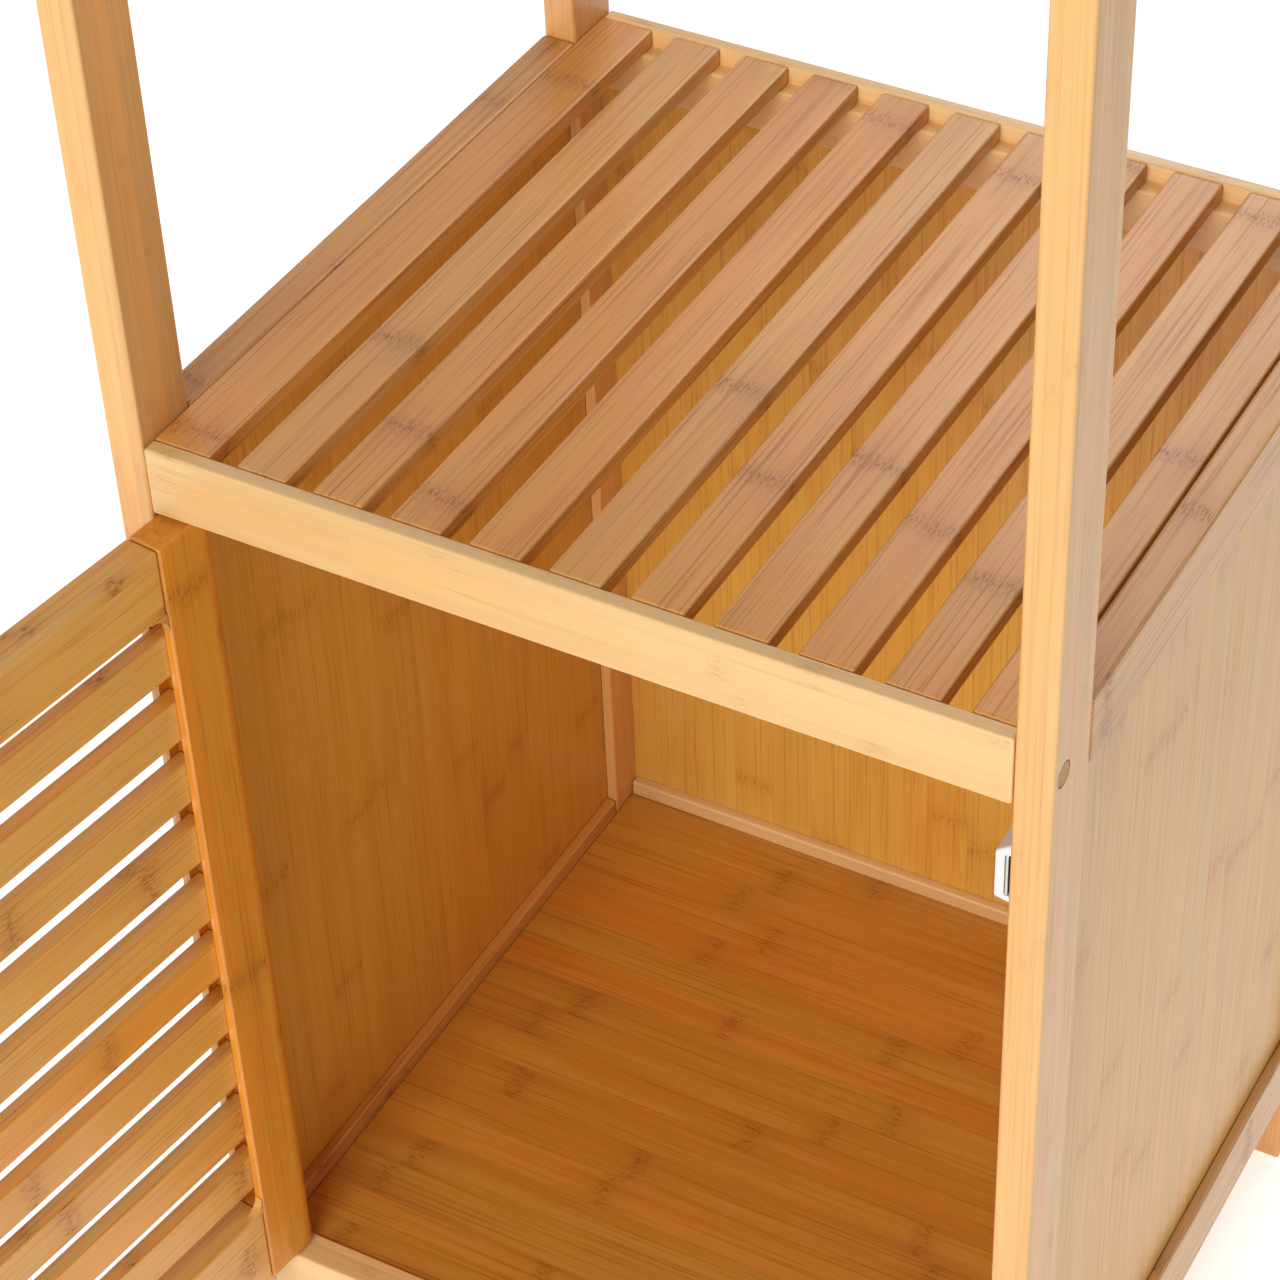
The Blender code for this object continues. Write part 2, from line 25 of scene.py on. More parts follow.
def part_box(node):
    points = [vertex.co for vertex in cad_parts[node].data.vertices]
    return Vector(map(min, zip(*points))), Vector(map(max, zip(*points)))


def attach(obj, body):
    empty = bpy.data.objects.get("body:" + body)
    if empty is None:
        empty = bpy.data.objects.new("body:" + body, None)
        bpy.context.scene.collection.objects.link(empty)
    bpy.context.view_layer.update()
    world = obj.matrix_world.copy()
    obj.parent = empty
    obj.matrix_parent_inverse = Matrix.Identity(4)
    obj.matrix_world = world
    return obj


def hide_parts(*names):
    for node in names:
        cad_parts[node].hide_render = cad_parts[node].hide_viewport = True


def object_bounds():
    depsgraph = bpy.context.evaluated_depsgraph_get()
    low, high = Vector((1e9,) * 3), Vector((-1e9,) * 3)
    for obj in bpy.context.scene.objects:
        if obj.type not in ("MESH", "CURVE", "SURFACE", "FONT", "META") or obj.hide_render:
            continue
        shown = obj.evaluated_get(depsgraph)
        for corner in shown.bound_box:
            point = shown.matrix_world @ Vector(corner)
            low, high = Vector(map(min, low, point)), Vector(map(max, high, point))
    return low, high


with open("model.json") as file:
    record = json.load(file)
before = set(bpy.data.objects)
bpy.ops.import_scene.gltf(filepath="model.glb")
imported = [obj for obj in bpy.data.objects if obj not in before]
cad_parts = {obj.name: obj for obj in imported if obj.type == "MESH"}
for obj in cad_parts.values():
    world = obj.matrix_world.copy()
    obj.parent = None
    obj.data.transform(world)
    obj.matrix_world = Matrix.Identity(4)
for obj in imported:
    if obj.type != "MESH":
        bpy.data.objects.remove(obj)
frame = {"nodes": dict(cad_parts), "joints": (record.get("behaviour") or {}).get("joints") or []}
CAD_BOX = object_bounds()

LOG = logging.getLogger("storage_tower")

JOINT = 0.0003  # clearance of a board in its groove
MILLIMETRE = 0.001
CONVEX = math.radians(40)  # an edge this sharp is rounded
SMOOTH = math.radians(38)  # faces that meet more flatly than this shade as one

Colour = tuple[float, float, float]
Point = tuple[float, float]
Box = tuple[Vector, Vector]


class Axis(Enum):
    """An axis of the part's frame, by its place in a vector."""

    X = 0
    Y = 1
    Z = 2

    def unit(self) -> Vector:
        """Return the unit vector along the axis."""
        return Vector([float(self.value == place) for place in range(3)])


class Body(Enum):
    """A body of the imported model."""

    FRAME = "frame"
    DOOR = "door"


class Side(Enum):
    """A side of the tower."""

    LEFT = "left"
    RIGHT = "right"


class End(Enum):
    """The front or the rear of the tower."""

    FRONT = "front"
    REAR = "rear"


# ---------------------------------------------------------------------------------------
# Materials
# ---------------------------------------------------------------------------------------


class Value:
    """A number that a node gives out, with Python's arithmetic."""

    def __init__(self, bench: PaintBench, socket: bpy.types.NodeSocket) -> None:
        """Wrap an output socket of a material on the bench."""
        self.bench = bench
        self.socket = socket

    def maths(self, operation: str, *terms: Any) -> Value:
        """Add a Math node.

        Args:
            operation: The node's operation.
            terms: Values or numbers, in the order of the node's inputs.

        Returns:
            The node's result.
        """
        inputs = dict(enumerate(terms))
        return self.bench.node("ShaderNodeMath", {"operation": operation}, inputs, "Value")

    def __add__(self, other: Any) -> Value:
        """Return self + other."""
        return self.maths("ADD", self, other)

    def __radd__(self, other: Any) -> Value:
        """Return other + self."""
        return self.maths("ADD", other, self)

    def __sub__(self, other: Any) -> Value:
        """Return self - other."""
        return self.maths("SUBTRACT", self, other)

    def __rsub__(self, other: Any) -> Value:
        """Return other - self."""
        return self.maths("SUBTRACT", other, self)

    def __mul__(self, other: Any) -> Value:
        """Return self * other."""
        return self.maths("MULTIPLY", self, other)

    def __rmul__(self, other: Any) -> Value:
        """Return other * self."""
        return self.maths("MULTIPLY", other, self)

    def __truediv__(self, other: Any) -> Value:
        """Return self / other."""
        return self.maths("DIVIDE", self, other)

    def __rtruediv__(self, other: Any) -> Value:
        """Return other / self."""
        return self.maths("DIVIDE", other, self)

    def __abs__(self) -> Value:
        """Return the size of the number without its sign."""
        return self.maths("ABSOLUTE", self)

    def __floor__(self) -> Value:
        """Return the whole number below."""
        return self.maths("FLOOR", self)

    def fraction(self) -> Value:
        """Return what is left above the whole number below."""
        return self.maths("FRACT", self)

    def smooth(self, low: float, high: float) -> Value:
        """Return 0 at low and under, 1 at high and over, and a smooth step between.

        Args:
            low: Where the step starts.
            high: Where it ends. If it is under low, the step falls.

        Returns:
            The step.
        """
        falls = high < low
        settings = {"interpolation_type": "SMOOTHSTEP"}
        inputs = {"Value": self, "From Min": min(low, high), "From Max": max(low, high)}
        step = self.bench.node("ShaderNodeMapRange", settings, inputs, "Result")
        return 1.0 - step if falls else step


class PaintBench:
    """One material while its nodes are being laid out."""

    def __init__(self, name: str) -> None:
        """Start a material that has only its output and its Principled shader."""
        self.material = bpy.data.materials.new(name)
        self.material.use_nodes = True
        self.tree = self.material.node_tree
        self.shader = self.tree.nodes["Principled BSDF"]

    def node(
        self,
        kind: str,
        settings: Mapping[str, Any] | None = None,
        inputs: Mapping[str | int, Any] | None = None,
        output: str | int = 0,
    ) -> Value:
        """Add a node.

        Args:
            kind: The node's type.
            settings: Its properties, which are set before its sockets.
            inputs: Its sockets, by name or number, with a value or a link for each.
            output: The socket to give back.

        Returns:
            The wanted output.
        """
        made = self.tree.nodes.new(kind)
        for name, value in (settings or {}).items():
            setattr(made, name, value)
        for key, value in (inputs or {}).items():
            self.feed(self.socket_of(made.inputs, key), value)
        return Value(self, self.socket_of(made.outputs, output))

    @staticmethod
    def socket_of(sockets: Iterable[bpy.types.NodeSocket], key: str | int) -> bpy.types.NodeSocket:
        """Return the socket in use that has this name or number."""
        in_use = [socket for socket in sockets if socket.enabled]
        if isinstance(key, int):
            return in_use[key]
        return next(socket for socket in in_use if socket.name == key)

    def feed(self, socket: bpy.types.NodeSocket, value: Any) -> None:
        """Link a value to a socket, or set a plain number, vector or colour on it."""
        if isinstance(value, Value):
            self.tree.links.new(value.socket, socket)
        elif socket.type == "RGBA":
            socket.default_value = (*value, 1.0)
        else:
            socket.default_value = value

    def mix(self, share: Any, first: Any, second: Any, blend: str = "MIX") -> Value:
        """Mix two colours.

        Args:
            share: How much of the second colour shows.
            first: A colour or a link.
            second: A colour or a link.
            blend: The way the second lies over the first.

        Returns:
            The mixed colour.
        """
        settings = {"data_type": "RGBA", "blend_type": blend}
        return self.node("ShaderNodeMix", settings, {"Factor": share, "A": first, "B": second}, "Result")

    def vector(self, x: Any, y: Any, z: Any) -> Value:
        """Put three numbers together as a vector."""
        return self.node("ShaderNodeCombineXYZ", None, {"X": x, "Y": y, "Z": z})

    def parts(self, vector: Value) -> list[Value]:
        """Take a vector apart into its three numbers."""
        split = self.node("ShaderNodeSeparateXYZ", None, {"Vector": vector}).socket.node
        return [Value(self, socket) for socket in split.outputs]

    def noise(self, place: Value, scale: float = 1.0, detail: float = 2.0, roughness: float = 0.5) -> Value:
        """Return a noise between 0 and 1 at a place."""
        inputs = {"Vector": place, "Scale": scale, "Detail": detail, "Roughness": roughness}
        return self.node("ShaderNodeTexNoise", None, inputs)

    def bump(self, height: Value, strength: float, distance: float) -> None:
        """Raise the surface by a height."""
        inputs = {"Height": height, "Strength": strength, "Distance": distance}
        self.set_shader({"Normal": self.node("ShaderNodeBump", None, inputs, "Normal")})

    def set_shader(self, inputs: Mapping[str, Any]) -> None:
        """Set sockets of the Principled shader."""
        for name, value in inputs.items():
            self.feed(self.shader.inputs[name], value)


@dataclass(frozen=True)
class Finish:
    """A finish, with its name and the name of a material slot in the record."""

    name: str
    slot: str

    def make(self) -> bpy.types.Material:
        """Return the finish's material, made the first time it is asked for."""
        ready = bpy.data.materials.get(self.name)
        if ready is not None:
            return ready
        bench = PaintBench(self.name)
        self.paint(bench)
        return bench.material

    def paint(self, bench: PaintBench) -> None:
        """Lay out the material's nodes."""
        raise NotImplementedError


@dataclass(frozen=True)
class Bamboo(Finish):
    """Laminated bamboo strips under a satin varnish, with the grain along the board's X."""

    pale: Colour
    deep: Colour
    streak: Colour
    knuckle: Colour
    strip_width: float = 0.020
    strip_thickness: float = 0.0055
    streak_share: float = 0.5
    knuckle_share: float = 0.7
    knuckle_spacing: float = 0.26
    knuckle_ring: float = 0.0016
    knuckle_band: float = 0.0085
    knuckle_flare: float = 0.028
    knuckle_wander: float = 0.006
    seam_half_width: float = 0.00022
    seam_share: float = 0.35
    tone_spread: float = 0.16
    tone_share: float = 0.5
    roughness: float = 0.36
    coat: float = 0.06
    coat_roughness: float = 0.16
    relief: float = 0.00025
    relief_strength: float = 0.30

    def paint(self, bench: PaintBench) -> None:
        """Lay out strips, fibres, knuckles and glue lines."""
        place = bench.node("ShaderNodeTexCoord", None, None, "Object")
        luck = bench.node("ShaderNodeObjectInfo", None, None, "Random")
        along, across, through = bench.parts(place)
        row = across / self.strip_width + 0.5
        layer = through / self.strip_thickness + 0.5
        cell = bench.vector(math.floor(row) + luck * 57.0, math.floor(layer), luck * 91.0)
        draws = bench.node("ShaderNodeTexWhiteNoise", {"noise_dimensions": "3D"}, {"Vector": cell}, "Color")
        tone, shift, stretch = bench.parts(draws)
        length = along + luck * 7.0

        fibre_place = bench.vector(length * 9.0 + tone * 40.0, across * 780.0, through * 780.0)
        fibre = bench.noise(fibre_place, detail=3.0)
        thread = bench.noise(bench.vector(length * 30.0, across * 2300.0, through * 2300.0), detail=1.0)
        cloud = bench.noise(bench.vector(length * 5.0 + shift * 30.0, across * 85.0, through * 85.0))
        streaks = fibre.smooth(0.50, 0.70) * 0.75 + thread.smooth(0.52, 0.78) * 0.45

        wander = bench.noise(bench.vector(length * 2.0, across * 170.0, through * 170.0 + shift * 20.0))
        spacing = (stretch * 0.5 + 0.8) * self.knuckle_spacing
        turn = (length + shift + wander * self.knuckle_wander) / spacing
        distance = abs((turn.fraction() - 0.5) * spacing)
        ring = distance.smooth(self.knuckle_ring, 0.0)
        band = distance.smooth(self.knuckle_band, 0.0005)
        flare = distance.smooth(self.knuckle_flare, 0.002)
        speckle = bench.noise(bench.vector(length * 260.0, across * 1300.0, through * 1300.0), detail=1.0)
        dashes = speckle.smooth(0.50, 0.64) * band
        knuckles = (ring * 0.12 + dashes * 0.75 + band * 0.16 + flare * cloud * 0.35) * self.knuckle_share

        seam_across = abs(row.fraction() - 0.5).smooth(0.5 - self.seam_half_width / self.strip_width, 0.5)
        seam_edge = 0.5 - self.seam_half_width / self.strip_thickness
        seam_through = abs(layer.fraction() - 0.5).smooth(seam_edge, 0.5)
        seams = seam_across.maths("MAXIMUM", seam_across, seam_through)

        patches = cloud.smooth(0.25, 0.75) * (1.0 - self.tone_share)
        body = bench.mix(patches + tone * self.tone_share, self.pale, self.deep)
        body = bench.mix(streaks * self.streak_share, body, self.streak)
        body = bench.mix(knuckles, body, self.knuckle)
        body = bench.mix(seams * self.seam_share, body, self.streak)
        strength = tone * self.tone_spread + (1.0 - self.tone_spread / 2)
        shade = bench.vector(strength, strength, strength)
        body = bench.node(
            "ShaderNodeVectorMath", {"operation": "MULTIPLY"}, {0: body, 1: shade}, "Vector"
        )
        bench.set_shader(
            {
                "Base Color": body,
                "Roughness": streaks * 0.10 + knuckles * 0.10 + (self.roughness - 0.04),
                "Coat Weight": self.coat,
                "Coat Roughness": self.coat_roughness,
            }
        )
        hollows = 0.0 - streaks * 0.5 - knuckles * 0.6 - seams
        bench.bump(hollows, self.relief_strength, self.relief)


@dataclass(frozen=True)
class EndGrain(Finish):
    """The sawn end of a bamboo dowel: dark fibre bundles in paler wood. The dowel lies along Z."""

    ground: Colour
    bundle: Colour

    def paint(self, bench: PaintBench) -> None:
        """Lay out the ground and its bundles."""
        place = bench.node("ShaderNodeTexCoord", None, None, "Object")
        spots = bench.node("ShaderNodeTexVoronoi", None, {"Vector": place, "Scale": 1100.0}, "Distance")
        cloud = bench.noise(place, 260.0)
        dots = spots.smooth(0.42, 0.18) * cloud.smooth(0.40, 0.62)
        bench.set_shader(
            {
                "Base Color": bench.mix(dots * 0.9, self.ground, self.bundle),
                "Roughness": dots * 0.1 + 0.55,
            }
        )
        bench.bump(1.0 - dots, 0.4, 0.0002)


@dataclass(frozen=True)
class Plastic(Finish):
    """Moulded plastic with a fine spark-eroded skin."""

    colour: Colour
    roughness: float = 0.34

    def paint(self, bench: PaintBench) -> None:
        """Lay out the colour and the skin."""
        place = bench.node("ShaderNodeTexCoord", None, None, "Object")
        skin = bench.noise(place, 4200.0)
        cloud = bench.noise(place, 160.0)
        shaded = tuple(channel * 0.93 for channel in self.colour)
        bench.set_shader(
            {
                "Base Color": bench.mix(cloud, self.colour, shaded),
                "Roughness": skin * 0.12 + (self.roughness - 0.06),
            }
        )
        bench.bump(skin, 0.15, 0.00005)


@dataclass(frozen=True)
class Metal(Finish):
    """Drawn or rolled metal with fine marks along its X."""

    colour: Colour
    roughness: float = 0.30

    def paint(self, bench: PaintBench) -> None:
        """Lay out the colour, the marks and slight tarnish."""
        place = bench.node("ShaderNodeTexCoord", None, None, "Object")
        along, across, through = bench.parts(place)
        marks = bench.noise(bench.vector(along * 200.0, across * 5200.0, through * 5200.0))
        tarnish = bench.noise(place, 240.0).smooth(0.45, 0.75)
        dull = tuple(channel * 0.72 for channel in self.colour)
        bench.set_shader(
            {
                "Base Color": bench.mix(tarnish * 0.6, self.colour, dull),
                "Metallic": 1.0,
                "Roughness": marks * 0.16 + tarnish * 0.10 + (self.roughness - 0.08),
            }
        )
        bench.bump(marks, 0.12, 0.00004)


POST_BAMBOO = Bamboo(
    name="pale_bamboo",
    slot="frame_bamboo",
    pale=(0.86, 0.50, 0.19),
    deep=(0.76, 0.38, 0.115),
    streak=(0.55, 0.24, 0.06),
    knuckle=(0.56, 0.27, 0.08),
    strip_width=0.0062,
    strip_thickness=0.0052,
    streak_share=0.42,
    knuckle_share=0.38,
    tone_spread=0.20,
)
RAIL_BAMBOO = Bamboo(
    name="straw_bamboo",
    slot="frame_bamboo",
    pale=(0.89, 0.63, 0.30),
    deep=(0.82, 0.51, 0.20),
    streak=(0.62, 0.33, 0.11),
    knuckle=(0.55, 0.29, 0.09),
    strip_width=0.0148,
    strip_thickness=0.0050,
    streak_share=0.26,
    knuckle_share=0.50,
    tone_spread=0.12,
)
SLAT_BAMBOO = Bamboo(
    name="toasted_bamboo",
    slot="shelf_bamboo",
    pale=(0.82, 0.46, 0.15),
    deep=(0.62, 0.26, 0.050),
    streak=(0.36, 0.12, 0.016),
    knuckle=(0.28, 0.085, 0.014),
    strip_width=0.030,
    strip_thickness=0.012,
    streak_share=0.80,
    knuckle_share=0.72,
    tone_spread=0.24,
    tone_share=0.7,
)
PANEL_BAMBOO = Bamboo(
    name="honey_bamboo",
    slot="panel_bamboo",
    pale=(0.78, 0.44, 0.080),
    deep=(0.68, 0.32, 0.042),
    streak=(0.40, 0.125, 0.011),
    knuckle=(0.42, 0.14, 0.013),
    strip_width=0.021,
    strip_thickness=0.009,
    streak_share=0.48,
    knuckle_share=0.50,
    knuckle_spacing=0.22,
    tone_spread=0.14,
)
# The cabinet floor's bamboo is a darker, deeper copy of the panels' honey bamboo: painted shade of the floor
# inside the cabinet.
SHADED_FLOOR_BAMBOO = Bamboo(
    name="dark_honey_bamboo",
    slot="panel_bamboo",
    pale=(0.70, 0.34, 0.048),
    deep=(0.56, 0.20, 0.020),
    streak=(0.27, 0.070, 0.006),
    knuckle=(0.24, 0.060, 0.005),
    strip_width=0.019,
    strip_thickness=0.009,
    streak_share=0.55,
    knuckle_share=0.55,
    knuckle_spacing=0.16,
    tone_spread=0.18,
)
DOOR_BAMBOO = Bamboo(
    name="golden_bamboo",
    slot="door_bamboo",
    pale=(0.86, 0.50, 0.13),
    deep=(0.72, 0.29, 0.028),
    streak=(0.44, 0.13, 0.010),
    knuckle=(0.33, 0.09, 0.008),
    strip_width=0.0205,
    strip_thickness=0.0065,
    streak_share=0.52,
    knuckle_share=0.75,
    knuckle_spacing=0.20,
    tone_spread=0.22,
    tone_share=0.8,
)
STILE_BAMBOO = Bamboo(
    name="amber_bamboo",
    slot="door_bamboo",
    pale=(0.78, 0.34, 0.038),
    deep=(0.66, 0.23, 0.018),
    streak=(0.42, 0.11, 0.008),
    knuckle=(0.34, 0.09, 0.007),
    strip_width=0.0152,
    strip_thickness=0.0065,
    streak_share=0.50,
    knuckle_share=0.60,
    knuckle_spacing=0.20,
)
PLUG_END_GRAIN = EndGrain(
    name="dowel_end", slot="plug_end_grain", ground=(0.52, 0.31, 0.09), bundle=(0.13, 0.05, 0.015)
)
CATCH_PLASTIC = Plastic(name="white_plastic_moulding", slot="white_plastic", colour=(0.80, 0.81, 0.82))
MAGNET_CORE = Metal(name="magnet_core", slot="magnet", colour=(0.16, 0.19, 0.24), roughness=0.46)
ZINC_STEEL = Metal(name="zinc_steel", slot="steel", colour=(0.62, 0.62, 0.61))


# ---------------------------------------------------------------------------------------
# Joinery
# ---------------------------------------------------------------------------------------


@dataclass(frozen=True)
class Lay:
    """How a board lies: the axis its grain follows and the axis its wide face spans."""

    grain: Axis
    wide: Axis

    def turn(self) -> Matrix:
        """Return the turn from the board's own frame to the part's."""
        along = self.grain.unit()
        across = self.wide.unit()
        return Matrix((along, across, along.cross(across))).transposed().to_4x4()

    def section_axes(self) -> list[int]:
        """Return the places of the two axes across the grain, in rising order."""
        return [axis.value for axis in Axis if axis is not self.grain]


UPRIGHT_DEEP = Lay(Axis.Z, Axis.Y)
UPRIGHT_WIDE = Lay(Axis.Z, Axis.X)
ACROSS_TALL = Lay(Axis.X, Axis.Z)
DEEP_FLAT = Lay(Axis.Y, Axis.X)
DEEP_TALL = Lay(Axis.Y, Axis.Z)
ACROSS_FLAT = Lay(Axis.X, Axis.Y)


def rectangle(low: Vector, high: Vector, axes: Iterable[int]) -> list[Point]:
    """Return a box's outline across the grain."""
    first, second = axes
    return [
        (low[first], low[second]),
        (high[first], low[second]),
        (high[first], high[second]),
        (low[first], high[second]),
    ]


def arc(centre: Point, radius: float, start: float, sweep: float, steps: int) -> list[Point]:
    """Return points along an arc, angles in degrees."""
    angles = [math.radians(start + sweep * step / steps) for step in range(steps + 1)]
    return [(centre[0] + radius * math.cos(angle), centre[1] + radius * math.sin(angle)) for angle in angles]


def grown(box: Box, margin: float) -> Box:
    """Return a box that is larger by a margin on every side."""
    extra = Vector((margin, margin, margin))
    return box[0] - extra, box[1] + extra


@dataclass
class Bench:
    """A place to make pieces at, in the part's frame or in the closed door's."""

    body: Body
    turn: Matrix = field(default_factory=lambda: Matrix.Identity(4))
    edge: float = 0.0014
    segments: int = 4

    def bar(
        self, name: str, outline: list[Point], span: Point, lay: Lay, edge: float | None = None
    ) -> bpy.types.Object:
        """Saw a bar of any section and round its edges.

        Args:
            name: The piece's name.
            outline: Its section, on the two axes across the grain in rising order.
            span: Where it starts and ends along the grain.
            lay: How it lies.
            edge: The radius of its edges, if it isn't the bench's own.

        Returns:
            The bar, in place.
        """
        first, second = lay.section_axes()
        rings = []
        for station in span:
            ring = []
            for a, b in outline:
                corner = Vector((0.0, 0.0, 0.0))
                corner[lay.grain.value] = station
                corner[first] = a
                corner[second] = b
                ring.append(corner)
            rings.append(ring)
        corners = rings[0] + rings[1]
        low = Vector([min(corner[place] for corner in corners) for place in range(3)])
        high = Vector([max(corner[place] for corner in corners) for place in range(3)])
        stand = Matrix.Translation((low + high) / 2) @ lay.turn()
        home = stand.inverted()

        shape = bmesh.new()
        near = [shape.verts.new(home @ corner) for corner in rings[0]]
        far = [shape.verts.new(home @ corner) for corner in rings[1]]
        shape.faces.new(near)
        shape.faces.new(far)
        for place, start in enumerate(near):
            following = (place + 1) % len(near)
            shape.faces.new((start, near[following], far[following], far[place]))
        bmesh.ops.recalc_face_normals(shape, faces=shape.faces)
        self.round_edges(shape, self.edge if edge is None else edge)
        return self.put(name, shape, stand)

    def board(self, name: str, box: Box, lay: Lay, edge: float | None = None) -> bpy.types.Object:
        """Saw a plain board that fills a box."""
        low, high = box
        span = (low[lay.grain.value], high[lay.grain.value])
        return self.bar(name, rectangle(low, high, lay.section_axes()), span, lay, edge)

    def round_edges(self, shape: bmesh.types.BMesh, radius: float) -> None:
        """Round every outer edge of a shape."""
        edges = [edge for edge in shape.edges if edge.calc_face_angle_signed(0.0) > CONVEX]
        bmesh.ops.bevel(
            shape,
            geom=edges,
            offset=radius,
            segments=self.segments,
            profile=0.5,
            affect="EDGES",
            clamp_overlap=True,
        )

    def turned(
        self, name: str, profile: Iterable[Point], stand: Matrix, sides: int = 48
    ) -> bpy.types.Object:
        """Turn a profile about Z.

        Args:
            name: The piece's name.
            profile: Radius and height of each ring, from one end to the other.
            stand: Where the piece's own frame lies.
            sides: How many faces go round.

        Returns:
            The turned piece, in place.
        """
        shape = bmesh.new()
        rings = []
        for radius, height in profile:
            angles = [math.tau * side / sides for side in range(sides)]
            ring = [(radius * math.cos(turn), radius * math.sin(turn), height) for turn in angles]
            rings.append([shape.verts.new(point) for point in ring])
        for lower, upper in zip(rings, rings[1:]):
            for side in range(sides):
                following = (side + 1) % sides
                shape.faces.new((lower[side], lower[following], upper[following], upper[side]))
        shape.faces.new(rings[0])
        shape.faces.new(rings[-1])
        bmesh.ops.recalc_face_normals(shape, faces=shape.faces)
        return self.put(name, shape, stand)

    def put(self, name: str, shape: bmesh.types.BMesh, stand: Matrix) -> bpy.types.Object:
        """Turn a shape into a piece and put it in place."""
        mesh = bpy.data.meshes.new(name)
        shape.to_mesh(mesh)
        shape.free()
        piece = bpy.data.objects.new(name, mesh)
        bpy.context.scene.collection.objects.link(piece)
        piece.matrix_world = self.turn @ stand
        return piece

    def work(self, piece: bpy.types.Object, tool: bpy.types.Object, operation: str = "DIFFERENCE") -> None:
        """Cut a tool's shape from a piece, or join it on, and put the tool away."""
        boolean = piece.modifiers.new("joinery", "BOOLEAN")
        boolean.operation = operation
        boolean.solver = "EXACT"
        boolean.object = tool
        bpy.context.view_layer.update()
        depsgraph = bpy.context.evaluated_depsgraph_get()
        worked = bpy.data.meshes.new_from_object(piece.evaluated_get(depsgraph), depsgraph=depsgraph)
        piece.modifiers.remove(boolean)
        old = piece.data
        piece.data = worked
        worked.name = piece.name
        bpy.data.meshes.remove(old)
        bpy.data.objects.remove(tool, do_unlink=True)

    def house(self, piece: bpy.types.Object, box: Box, edge: float = 0.0) -> None:
        """Cut a housing for what fills a box, with the joint's clearance."""
        tool = self.board("cutter", grown(box, JOINT), ACROSS_FLAT, edge)
        self.work(piece, tool)

    def bore(self, piece: bpy.types.Object, radius: float, depth: float, stand: Matrix) -> None:
        """Bore a round hole about the stand's Z, as deep to either side of its origin."""
        tool = self.turned("drill", ((radius, -depth), (radius, depth)), stand)
        self.work(piece, tool)

    def hand_over(self, piece: bpy.types.Object, finish: Finish, *nodes: str) -> bpy.types.Object:
        """Dress a piece, hang it on its body and let it stand for its nodes.

        Args:
            piece: The finished shape.
            finish: What it is made of.
            nodes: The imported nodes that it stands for.

        Returns:
            The piece.
        """
        piece.data.materials.clear()
        piece.data.materials.append(finish.make())
        for polygon in piece.data.polygons:
            polygon.material_index = 0
        piece.data.shade_smooth()
        piece.data.set_sharp_from_angle(angle=SMOOTH)
        flat = piece.modifiers.new("flat_faces", "WEIGHTED_NORMAL")
        flat.keep_sharp = True
        flat.weight = 100
        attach(piece, self.body.value)
        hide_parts(*nodes)
        LOG.info("%s rides on %s and stands for %s", piece.name, self.body.value, ", ".join(nodes))
        return piece


# ---------------------------------------------------------------------------------------
# The tower
# ---------------------------------------------------------------------------------------


@dataclass
class Posts:
    """The four posts, housed for the cabinet's panels, and the plugs over their screws."""

    bench: Bench
    edge: float = 0.0016
    plug_chamfer: float = 0.0006
    plug_clearance: float = 0.00015

    def build(self) -> None:
        """Make every post with its plug."""
        for end in End:
            for side in Side:
                self.post(end, side)

    def post(self, end: End, side: Side) -> None:
        """Make one post and its plug."""
        node = f"{end.value}_{side.value}_post"
        post = self.bench.board(f"{node}_bamboo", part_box(node), UPRIGHT_DEEP, self.edge)
        self.bench.house(post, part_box(f"{side.value}_side_panel"))
        if end is End.REAR:
            self.bench.house(post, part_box("back_panel"))
        self.plug(post, f"{end.value}_{side.value}_screw_plug")
        self.bench.hand_over(post, POST_BAMBOO, node)

    def plug(self, post: bpy.types.Object, node: str) -> None:
        """Bore a post and close the hole with a dowel's end."""
        low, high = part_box(node)
        radius = (high.z - low.z) / 2
        length = high.x - low.x
        middle = (low + high) / 2
        stand = Matrix.Translation(middle) @ Matrix.Rotation(math.radians(90), 4, "Y")
        self.bench.bore(post, radius + self.plug_clearance, length / 2 + JOINT, stand)
        half = length / 2
        chamfer = self.plug_chamfer
        near_end = ((radius - chamfer, -half), (radius, chamfer - half))
        profile = near_end + ((radius, half - chamfer), (radius - chamfer, half))
        plug = self.bench.turned(f"{node}_dowel", profile, stand)
        self.bench.hand_over(plug, PLUG_END_GRAIN, node)


